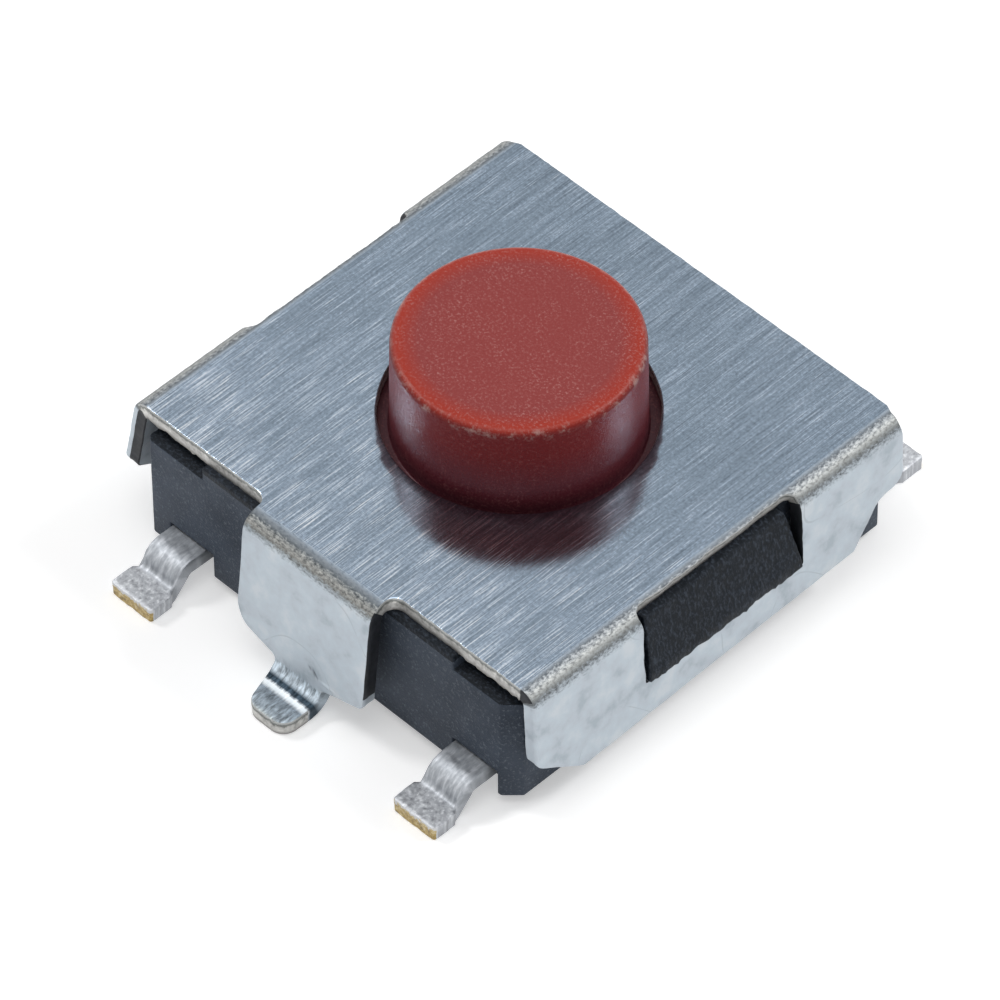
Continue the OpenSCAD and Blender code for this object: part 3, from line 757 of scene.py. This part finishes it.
def flange_corners(side):
    """Corners of one side flange on the flat sheet, from its near end round to the far one"""
    width, height, fillet = HOLLOW
    hollow_top = flange_u(FLANGE_LOW_FAR + height, side)
    inner_v = FLANGE_FAR - width
    corners = [
        (flange_u(FLANGE_LOW + SLANT[1], side), -PLATE_HALF_D, CORNER_R),
        (flange_u(FLANGE_LOW, side), -PLATE_HALF_D + SLANT[0], 0.1),
        (flange_u(FLANGE_LOW_FAR, side), inner_v - height / math.tan(HOLLOW_SLOPE), 0.04),
        (hollow_top, inner_v, fillet),
        (hollow_top, FLANGE_FAR, FLANGE_FAR_R),
        (PLATE_HALF_W + 0.05, FLANGE_FAR, 0.06),
        (PLATE_HALF_W - 0.04, PLATE_HALF_D, 0.05),
    ]
    return [(side * u, v, r) for u, v, r in corners]


def cover_outline():
    """Corners of the whole blank, from the tab round the +X flange to the -X one"""
    rise = (TAB_HALF - FOOT_HALF) * math.tan(SHOULDER)
    end = foot_v()
    tab = [
        (-TAB_HALF, -PLATE_HALF_D, 0.14),
        (-TAB_HALF, tab_v(TAB_LOW + rise), 0.3),
        (-FOOT_HALF, tab_v(TAB_LOW), 0.08),
        (-FOOT_HALF, tab_v(FOOT_LEVEL), 0.1),
        (-FOOT_HALF + FOOT_SLIM, end, 0.2),
        (FOOT_HALF, end, 0.2),
        (FOOT_HALF, tab_v(TAB_LOW), 0.02),
        (TAB_HALF, tab_v(TAB_LOW + rise), 0.12),
        (TAB_HALF, -PLATE_HALF_D, 0.14),
    ]
    return tab + flange_corners(1) + list(reversed(flange_corners(-1)))


def window_corners(side):
    """Corners of the window in a side flange, which cuts into the bend above it"""
    inner = PLATE_HALF_W + TOP_BEND * math.asin((TOP_BEND - WINDOW_CUT) / TOP_BEND)
    outer = flange_u(WINDOW_SILL, side)
    v = WINDOW_HALF
    corners = [(inner, -v, 0.12), (inner, v, 0.12), (outer, v, 0.03), (outer, -v, 0.03)]
    corners = [(side * a, b, r) for a, b, r in corners]
    return corners if side > 0 else list(reversed(corners))


def on_tab(u, v):
    """Whether a point of the flat sheet belongs to the ground tab and its foot"""
    return v < -PLATE_HALF_D and abs(u) < TAB_REACH


def cover_turn(u, v):
    """How far round the top bend a point of the sheet lies: 0 on the plate, 1 past the bend"""
    if on_tab(u, v):
        return min(max((-PLATE_HALF_D - v - TAB_OUT) / TAB_PATH[1][0], 0), 1)
    arc = TOP_PATHS[1 if u > 0 else -1][0][0]
    return min(max((abs(u) - PLATE_HALF_W) / arc, 0), 1)


def foot_distance(u, v):
    """Distance past the start of the bend into the foot"""
    start = sum(length for length, _ in TAB_PATH[:3])
    return max(-PLATE_HALF_D - v - start, 0) if on_tab(u, v) else 0


def cover_fold(u, v):
    """What the sheet's material reads: turn, 1 on the tab, and distance past the start of the foot"""
    return cover_turn(u, v), 1.0 if on_tab(u, v) else 0.0, foot_distance(u, v)


def tab_nicks(u, v):
    """How deep the sheet is nicked: short slanting nicks in the tab above its foot, and beside them
    a raised lip, which counts below 0"""
    if not on_tab(u, v) or abs(v - NICK_V) > 0.15:
        return 0.0
    nicks = 0.0
    for place, rise, slant, length, depth in NICKS:
        across = u - NICK_U - place - slant * (v - NICK_V - rise)
        nicks += depth * math.exp(-((across / 0.018) ** 2) - ((v - NICK_V - rise) / length) ** 2)
    bow = v - LIP_V + 0.9 * (u - LIP_U) ** 2
    return nicks - 0.8 * math.exp(-((u - LIP_U) / 0.09) ** 2 - (bow / 0.02) ** 2)


def cover_relief(u, v):
    """How far the top face stands above the true fold: the grain of the stretched bends, a slight
    waviness, and the nicks"""
    turn = cover_turn(u, v)
    bend = smooth(turn, 0.0, 0.15) * (1 - smooth(turn, 0.85, 1.0))
    foot = smooth(foot_distance(u, v), 0.0, 0.1)
    across, along = (v, u) if on_tab(u, v) else (u, v)
    peel = 0.6 * grain(across, along * 0.5, 0.06, 2.5) + 0.4 * grain(across, along * 0.5, 0.03, 6.5)
    return (0.006 * bend + 0.003 * foot) * peel + 0.0015 * grain(u, v, 0.9, 1.5) - 0.018 * tab_nicks(u, v)


def cover_place(u, v, depth):
    """Where a point of the flat sheet lies once the cover is folded"""
    depth -= cover_relief(u, v) * (1 - min(depth / SHEET, 1))
    if on_tab(u, v):
        out, high = follow(TAB_PATH, -PLATE_HALF_D - v, depth)
        return u, -PLATE_HALF_D - out, COVER_TOP + high
    side = 1 if u > 0 else -1
    if abs(u) > PLATE_HALF_W:
        out, high = follow(TOP_PATHS[side], abs(u) - PLATE_HALF_W, depth)
        return side * (PLATE_HALF_W + out), v, COVER_TOP + high
    return u, v, COVER_TOP - depth


def cover_step(p):
    """Distance between outline points: short where the edge crosses a bend or carries a burr"""
    crossing = 0 < cover_turn(p.x, p.y) < 1 or foot_distance(p.x, p.y) > 0
    return 0.03 if crossing or cover_burr(p) else 0.06


def cover_burr(p):
    """How far the burr hangs down: along the plate's near edge beside the tab, and at the windows"""
    beside_tab = abs(p.y + PLATE_HALF_D) < 0.05 and TAB_REACH < abs(p.x) < PLATE_HALF_W
    at_window = abs(p.y) < WINDOW_HALF - 0.05 and abs(abs(p.x) - PLATE_HALF_W - 0.08) < 0.06
    return 0.05 if at_window else 0.03 if beside_tab else 0.0


def cover_cut(p, ring):
    """What a cut edge looks like: 0 plated over, 1 bare from the punch, 2 black painted shade. Painted
    black are the tab's +X edge, the ends of the windows, and the flanges' near ends, at +X where it
    bends and at -X in its lower half. Else the edge is bare round the plate and at the foot, and plated
    past the bends."""
    past_bend = cover_turn(p.x, p.y) > 0.6
    near_end = p.y < 0.1 - PLATE_HALF_D
    if on_tab(p.x, p.y):
        if p.x > 0.9 and past_bend and p.y > tab_v(0.62):
            return 2
        return 1 if foot_distance(p.x, p.y) > 0.3 or not past_bend else 0
    if past_bend and abs(abs(p.y) - WINDOW_HALF) < 0.04 and abs(p.x) < flange_u(WINDOW_SILL, 1) + 0.02:
        return 2
    if p.x > 0 and near_end and 0.05 < cover_turn(p.x, p.y):
        return 0 if past_bend else 2
    if p.x < 0 and near_end and past_bend and ring > 2:
        return 2
    return 0 if past_bend else 1


def cover_roughness(p):
    """How uneven the sheared outline is, finer at the foot"""
    return 0.004 if foot_distance(p.x, p.y) > 0 else 0.008


def make_cover():
    """The folded cover. Its inner points cover the plate, the side bends, the flanges, the tab down to
    the foot, and the nicks, and lie closest together where the sheet bends or is nicked."""
    hole_steps = 240
    outline = filled(rounded(cover_outline()), cover_step)
    outline = roughened(outline, cover_roughness, 1.0)
    loops = [outline]
    for side in (1, -1):
        window = filled(rounded(window_corners(side)), cover_step)
        loops.append(roughened(window, lambda p: 0.02, 4.0 + side))
    around = [
        Matrix.Rotation(-k * math.tau / hole_steps, 2) @ Vector((HOLE_R, 0)) for k in range(hole_steps)
    ]
    loops.append(roughened(around, lambda p: 0.004, 9.0))
    inner = grid(span(-PLATE_HALF_W, PLATE_HALF_W, 0.13), span(-PLATE_HALF_D, PLATE_HALF_D, 0.13), 0.13)
    for side in (1, -1):
        arc = TOP_PATHS[side][0][0]
        vs = span(-PLATE_HALF_D, PLATE_HALF_D, 0.04)
        inner += grid([side * (PLATE_HALF_W + s) for s in span(-0.06, arc + 0.06, 0.025)], vs, 0.025)
        leg = span(arc + 0.13, 2.0, 0.11)
        inner += grid([side * (PLATE_HALF_W + s) for s in leg], span(-PLATE_HALF_D, PLATE_HALF_D, 0.11), 0.11)
    start = -PLATE_HALF_D
    for (length, radius), step in zip(TAB_PATH[:4] + [(0.8, 0)], (0.05, 0.025, 0.08, 0.02, 0.04)):
        inner += grid(span(-1.2, 1.2, max(step, 0.04)), span(start - step * 0.5, start - length, step), step)
        start -= length
    inner += grid(span(NICK_U - 0.05, NICK_U + 0.48, 0.016), span(NICK_V - 0.12, NICK_V + 0.12, 0.016), 0.016)
    materials = [
        make_material("tin_plated_steel_sheet", tin_plated_steel),
        make_material("sheared_steel_edge", sheared_steel),
        make_material("painted_shade_steel_edge", painted_shade_steel),
    ]
    folded_sheet(
        "folded_sheet_cover", loops, inner, cover_place, cover_fold, SHEET, 0.025,
        "shield_cover", materials,
        cut=cover_cut, burr=cover_burr, nicks=tab_nicks,
    )


# The contact strips

LEAD_TURN = math.acos(1 - JOGGLE / (2 * (LEAD_BEND + STRIP / 2)))
LEAD_PATH = [
    ((LEAD_BEND + STRIP) * LEAD_TURN, LEAD_BEND + STRIP), (LEAD_BEND * LEAD_TURN, -LEAD_BEND), BEYOND,
]
LEAD_BENDS = sum(length for length, _ in LEAD_PATH[:2])
SOLE_V = LEAD_BEND_Y + LEAD_BENDS
END_V = SOLE_V + LEAD_END - LEAD_BEND_Y - follow(LEAD_PATH, LEAD_BENDS, 0)[0]


def strip_end(x, end):
    """Corners of one end of a strip with its wider foot, anticlockwise"""
    foot = [
        (STRIP_HALF, SOLE_V - 0.02, 0), (SOLE_HALF, SOLE_V + 0.03, 0.02),
        (SOLE_HALF, END_V, 0.04), (-SOLE_HALF, END_V, 0.04),
        (-SOLE_HALF, SOLE_V + 0.03, 0.02), (-STRIP_HALF, SOLE_V - 0.02, 0),
    ]
    return [(x + end * u, end * v, r) for u, v, r in foot]


def centre_contact_corners():
    """Corners of the strip with the tongue that ends in the round centre pad"""
    reach = math.atan2(TONGUE_HALF, -math.sqrt(TONGUE_END_R ** 2 - TONGUE_HALF ** 2))
    x = -LEAD_X + STRIP_HALF
    tongue = [(x, -TONGUE_HALF, 0.08)]
    steps = 40
    for k in range(steps + 1):
        turn = -reach + 2 * reach * k / steps
        tongue.append((TONGUE_END_R * math.cos(turn), TONGUE_END_R * math.sin(turn), 0))
    tongue.append((x, TONGUE_HALF, 0.08))
    return strip_end(-LEAD_X, -1) + tongue + strip_end(-LEAD_X, 1)


def rim_contact_corners():
    """Corners of the strip with the two arms that carry the four rim pads"""
    x = LEAD_X - STRIP_HALF
    end = -RIM_PAD - ARM_HALF
    arms = []
    for side in (1, -1):
        high = side * RIM_PAD + ARM_HALF
        low = side * RIM_PAD - ARM_HALF
        arms += [(x, high, 0.06), (end, high, 0.06), (end, low, 0.06), (x, low, 0.06)]
    return strip_end(LEAD_X, -1) + strip_end(LEAD_X, 1) + arms


def contact_fold(u, v):
    """What the strip's material reads: 1 on the flattened feet"""
    distance = abs(v) - LEAD_BEND_Y
    return smooth(distance, LEAD_BENDS - 0.03, LEAD_BENDS + 0.03), 0.0, 0.0


def contact_place(pads):
    """The fold of a contact strip whose pads, each (x, y, radius), are pressed up out of it"""
    def place(u, v, depth):
        raised = max((1 - smooth(math.hypot(u - x, v - y), r - 0.05, r) for x, y, r in pads), default=0)
        distance = abs(v) - LEAD_BEND_Y
        wear = 0.005 * smooth(distance, -0.3, 0) * (grain(u, v, 0.12, 3.5) + grain(u, v, 0.05, 8.5))
        depth -= wear * (1 - depth / STRIP)
        if distance <= 0:
            return u, v, STRIP_TOP - depth + raised * (PAD_TOP - STRIP_TOP)
        out, high = follow(LEAD_PATH, distance, depth)
        return u, math.copysign(LEAD_BEND_Y + out, v), STRIP_TOP + high
    return place


def contact_step(p):
    """Distance between outline points: short at the leads"""
    return 0.03 if abs(p.y) > LEAD_BEND_Y - 0.1 else 0.1


def make_contact(name, node, corners, pads, x, seed, materials):
    """A contact strip whose leads lie at x, with points closer together at its bends and feet"""
    outline = filled(rounded(corners), contact_step)
    outline = roughened(outline, lambda p: 0.008 if abs(p.y) > base_high.y else 0.0, seed)
    inner = grid(span(-1.6, 1.7, 0.09), span(-1.6, 1.6, 0.09), 0.09)
    inner += grid(span(x - 0.3, x + 0.3, 0.1), span(-2.9, 2.9, 0.1), 0.1)
    for end in (1, -1):
        inner += grid(span(x - 0.3, x + 0.3, 0.035), [end * v for v in span(2.95, END_V, 0.025)], 0.025)
    folded_sheet(
        name, [outline], inner, contact_place(pads), contact_fold, STRIP, 0.02,
        node, materials,
        cut=lambda p, ring: 1 if abs(p.y) > END_V - 0.03 else 0, burr=lambda p: 0, nicks=lambda u, v: 0.0,
    )


# Round parts

def turned(name, corners, body, node, material, steps=160):
    """A round part turned from a profile of corners (radius, height, rounding) that starts and ends
    on the axis"""
    profile = filled(rounded(corners, 0.012), lambda p: 0.09, closed=False)
    verts, faces, rows = [], [], []
    for r, z in profile:
        if r < 1e-6:
            rows.append([len(verts)])
            verts.append((0, 0, z))
        else:
            rows.append(list(range(len(verts), len(verts) + steps)))
            for k in range(steps):
                turn = math.tau * k / steps
                verts.append((r * math.cos(turn), r * math.sin(turn), z))
    # On the axis a row is one point, so its quads close to triangles
    for low, high in zip(rows, rows[1:]):
        for k in range(steps):
            face = [row[i % len(row)] for row, i in ((low, k), (low, k + 1), (high, k + 1), (high, k))]
            face = list(dict.fromkeys(face))
            if len(face) > 2:
                faces.append(face)
    piece = new_piece(name, verts, faces, body, node, [material])
    shade(piece, 38)
    return piece


def make_button():
    """The button with its nub below and the flange that the cover holds in"""
    low, high = BUTTON_FLANGE
    corners = [
        (0, button_low.z, 0),
        (NUB_R, button_low.z, 0.05),
        (NUB_R, low, 0),
        (button_high.x, low, 0.03),
        (button_high.x, high, 0.03),
        (STEM_R - 0.002, high, 0.02),
        (STEM_TOP_R, button_high.z, BUTTON_EDGE),
        (0, button_high.z, 0),
    ]
    material = make_material("moulded_red_nylon", red_nylon)
    turned("round_button", corners, "button", "push_button", material)


def bowl(rim_r, rim_z, top_z, count=40):
    """Points (radius, height) of a shallow dome, from its rim to its top"""
    rise = top_z - rim_z
    curve = (rim_r ** 2 + rise ** 2) / (2 * rise)
    turns = [math.asin(rim_r / curve) * (1 - k / count) for k in range(count + 1)]
    return [(curve * math.sin(t), top_z - curve + curve * math.cos(t), 0) for t in turns]


def make_dome():
    """The spring dome: a shallow bowl turned from its rim to its top, on a mesh of its own"""
    over = bowl(dome_high.x, dome_low.z + DOME_T, dome_high.z)
    under = bowl(dome_high.x, dome_low.z, dome_high.z - DOME_T)
    corners = list(reversed(under)) + over
    material = make_material("rolled_spring_steel", spring_steel)
    piece = turned("spring_dome", corners, "housing", "snap_dome", material, 128)
    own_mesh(piece)


def make_film():
    """The film that lies over the dome: flat outside it, and bulged where it covers it"""
    rim = film_low.z + FILM_T
    middle = dome_high.x - 0.05
    over = [(film_high.x, rim, 0)] + bowl(middle, rim, film_high.z)
    under = [(film_high.x, film_low.z, 0)] + bowl(middle - 0.06, film_low.z, film_high.z - FILM_T)
    corners = list(reversed(under)) + over
    material = make_material("polyimide_film", polyimide_film)
    piece = turned("dome_film", corners, "housing", "sealing_film", material, 128)
    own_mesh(piece)


# Moulded base

def ease_outer_edges(shape):
    """Small bevels on the edges outside the well"""
    outer = []
    for edge in shape.edges:
        middle = (edge.verts[0].co + edge.verts[1].co) / 2 / MM
        if edge.is_manifold and edge.calc_face_angle() > math.radians(20) and middle.xy.length > OUTER_R:
            outer.append(edge)
    bmesh.ops.bevel(
        shape, geom=outer, offset=BASE_EASE * MM, segments=2, profile=0.5, affect="EDGES", clamp_overlap=True)


def cut_across(shape, place, way, axis, limit):
    """Adds edges where a plane crosses the faces whose middles lie past the limit along an axis, which
    is 0 for x and 1 for y"""
    faces = [f for f in shape.faces if abs(f.calc_center_median()[axis]) > limit * MM]
    around = dict.fromkeys([v for f in faces for v in f.verts] + [e for f in faces for e in f.edges])
    bmesh.ops.bisect_plane(
        shape, geom=list(around) + faces, dist=0.00001 * MM, plane_co=Vector(place) * MM, plane_no=way)


def close_notches(shape):
    """Moves the -X wall of each lead's notch nearer to its lead, as the photograph shows no gap there"""
    for vert in shape.verts:
        x, y, z = vert.co / MM
        wall = min(abs(x - lead + STRIP_HALF + NOTCH_ROOM) for lead in (LEAD_X, -LEAD_X))
        if wall < 0.03 and abs(y) > 2.5 and z < STRIP_TOP + 0.05:
            vert.co.x += NOTCH_SHIFT * MM


def roughen_barbs(shape):
    """Grain on the two snap barbs, and a ragged lip along their lower edge"""
    for vert in shape.verts:
        x, y, z = vert.co / MM
        if abs(x) < BARB_ROOT:
            continue
        out = 0.012 * grain(y, z, 0.07, 3.3) + 0.008 * grain(y, z, 0.03, 5.3)
        lip = 1 - smooth(z, WINDOW_SILL + 0.02, WINDOW_SILL + 0.13)
        lip *= smooth(abs(x), BARB_ROOT, BARB_ROOT + 0.2)
        vert.co.x += math.copysign(out - 0.006, x) * MM
        vert.co.z -= lip * (0.04 + 0.05 * grain(y, 0.0, 0.3, 7.7) + 0.03 * grain(y, 0.0, 0.06, 2.7)) * MM


def make_base():
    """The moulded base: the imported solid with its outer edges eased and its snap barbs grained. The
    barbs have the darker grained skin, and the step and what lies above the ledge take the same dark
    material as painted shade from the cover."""
    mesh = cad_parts["base_housing"].data.copy()
    mesh.materials.clear()
    shape = bmesh.new()
    shape.from_mesh(mesh)
    bmesh.ops.remove_doubles(shape, verts=shape.verts, dist=0.0005 * MM)
    bmesh.ops.dissolve_limit(
        shape, angle_limit=math.radians(0.5), verts=shape.verts, edges=shape.edges, delimit=set())
    ease_outer_edges(shape)
    for y in span(-WINDOW_HALF + 0.06, WINDOW_HALF - 0.06, BARB_GRAIN):
        cut_across(shape, (0, y, 0), (0, 1, 0), 0, BARB_ROOT)
    for z in span(WINDOW_SILL + 0.06, base_high.z - 0.08, BARB_GRAIN):
        cut_across(shape, (0, 0, z), (0, 0, 1), 0, BARB_ROOT)
    cut_across(shape, (0, 0, LEDGE_Z), (0, 0, 1), 1, END_Y)
    close_notches(shape)
    bmesh.ops.triangulate(shape, faces=shape.faces)
    roughen_barbs(shape)
    shape.to_mesh(mesh)
    shape.free()
    for name, *look in (
        ("moulded_glass_filled_nylon", "#303844", "#4b5461", "#858e98", (0.035, 0.035, 0.035), 0.54),
        ("grained_glass_filled_nylon", "#0a1016", "#131a22", "#49515d", (0.045, 0.034, 0.07), 0.48),
    ):
        mesh.materials.append(make_material(name, moulded_nylon, *look))
    for face in mesh.polygons:
        x, y, z = face.center / MM
        # Painted shade: above the ledge at the ends and on the step, the dark grained material stands in for
        # the cover's shade
        shaded = z > LEDGE_Z and abs(y) > 2.2
        step_in_painted_shade = abs(z - STEP_Z) < 0.02 and abs(face.normal.z) > 0.9
        face.material_index = 1 if abs(x) > BARB_ROOT or shaded or step_in_painted_shade else 0
    piece = bpy.data.objects.new("moulded_base", mesh)
    bpy.context.scene.collection.objects.link(piece)
    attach(piece, "housing")
    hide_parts("base_housing")
    shade(piece, 30)


brass = [make_material("silver_plated_brass", plated_brass), make_material("cut_brass", cut_brass)]
centre_pad = [(0, 0, CENTRE_PAD_R)]
rim_pads = [(i * RIM_PAD, j * RIM_PAD, RIM_PAD_R) for i in (1, -1) for j in (1, -1)]
make_cover()
make_base()
make_contact(
    "left_contact_strip", "centre_contact", centre_contact_corners(), centre_pad, -LEAD_X, 20.0, brass)
make_contact(
    "right_contact_strip", "rim_contact", rim_contact_corners(), rim_pads, LEAD_X, 30.0, brass)
make_dome()
make_film()
make_button()


# Floor and light

def seen_directly(tree):
    """1 for rays from the camera, in reflections and through clear material, which see the white
    background, and 0 for light that falls on the object"""
    path = add(tree, "LightPath", {}).outputs
    seen = add(tree, "Math", {0: path["Is Camera Ray"], 1: path["Is Glossy Ray"]}, operation="MAXIMUM")
    return add(tree, "Math", {0: seen, 1: path["Is Transmission Ray"]}, operation="MAXIMUM")


def studio_paper(tree):
    """Pale matt paper, lifted to white where it is seen directly"""
    paper = add(tree, "BsdfDiffuse", {"Color": "#ececec"})
    lift = add(tree, "Emission", {"Strength": 0.4})
    bright = add(tree, "AddShader", {0: paper, 1: lift})
    return add(tree, "MixShader", {0: seen_directly(tree), 1: paper, 2: bright})


def make_floor():
    """A sheet of pale paper 800 mm wide, which looks white and keeps the object's shadow"""
    half = 400
    corners = [(-half, -half, 0), (half, -half, 0), (half, half, 0), (-half, half, 0)]
    mesh = bpy.data.meshes.new("floor")
    mesh.from_pydata([Vector(corner) * MM for corner in corners], [], [(0, 1, 2, 3)])
    mesh.materials.append(make_material("pale_studio_floor", studio_paper))
    floor = bpy.data.objects.new("floor", mesh)
    bpy.context.scene.collection.objects.link(floor)


def make_world():
    """White to the eye, and a weak even light on the object"""
    world = bpy.data.worlds.new("studio")
    world.use_nodes = True
    tree = world.node_tree
    tree.nodes.clear()
    soft = add(tree, "Background", {"Color": "#ffffff", "Strength": 0.28})
    white = add(tree, "Background", {"Color": "#ffffff", "Strength": 1.0})
    mix = add(tree, "MixShader", {0: seen_directly(tree), 1: soft, 2: white})
    add(tree, "OutputWorld", {"Surface": mix})
    bpy.context.scene.world = world


def softbox(name, place, size, glow):
    """A square lamp that faces the object, with its place and size in millimetres. Its glow says how
    bright its face looks."""
    lamp = bpy.data.lights.new(name, "AREA")
    lamp.shape = "SQUARE"
    lamp.size = size * MM
    lamp.energy = glow * math.pi * (size * MM) ** 2
    softbox_object = bpy.data.objects.new(name, lamp)
    place = Vector(place)
    aim = (place - Vector((0, 0, 1))).to_track_quat("Z", "Y")
    softbox_object.matrix_world = Matrix.Translation(place * MM) @ aim.to_matrix().to_4x4()
    bpy.context.scene.collection.objects.link(softbox_object)


make_floor()
make_world()
softbox("left_softbox", (-114, -40, 134), 40, 16)
softbox("right_softbox", (68, 99, 134), 40, 22)
softbox("top_softbox", (10, -25, 170), 110, 2)

bpy.context.scene.view_settings.view_transform = "Standard"
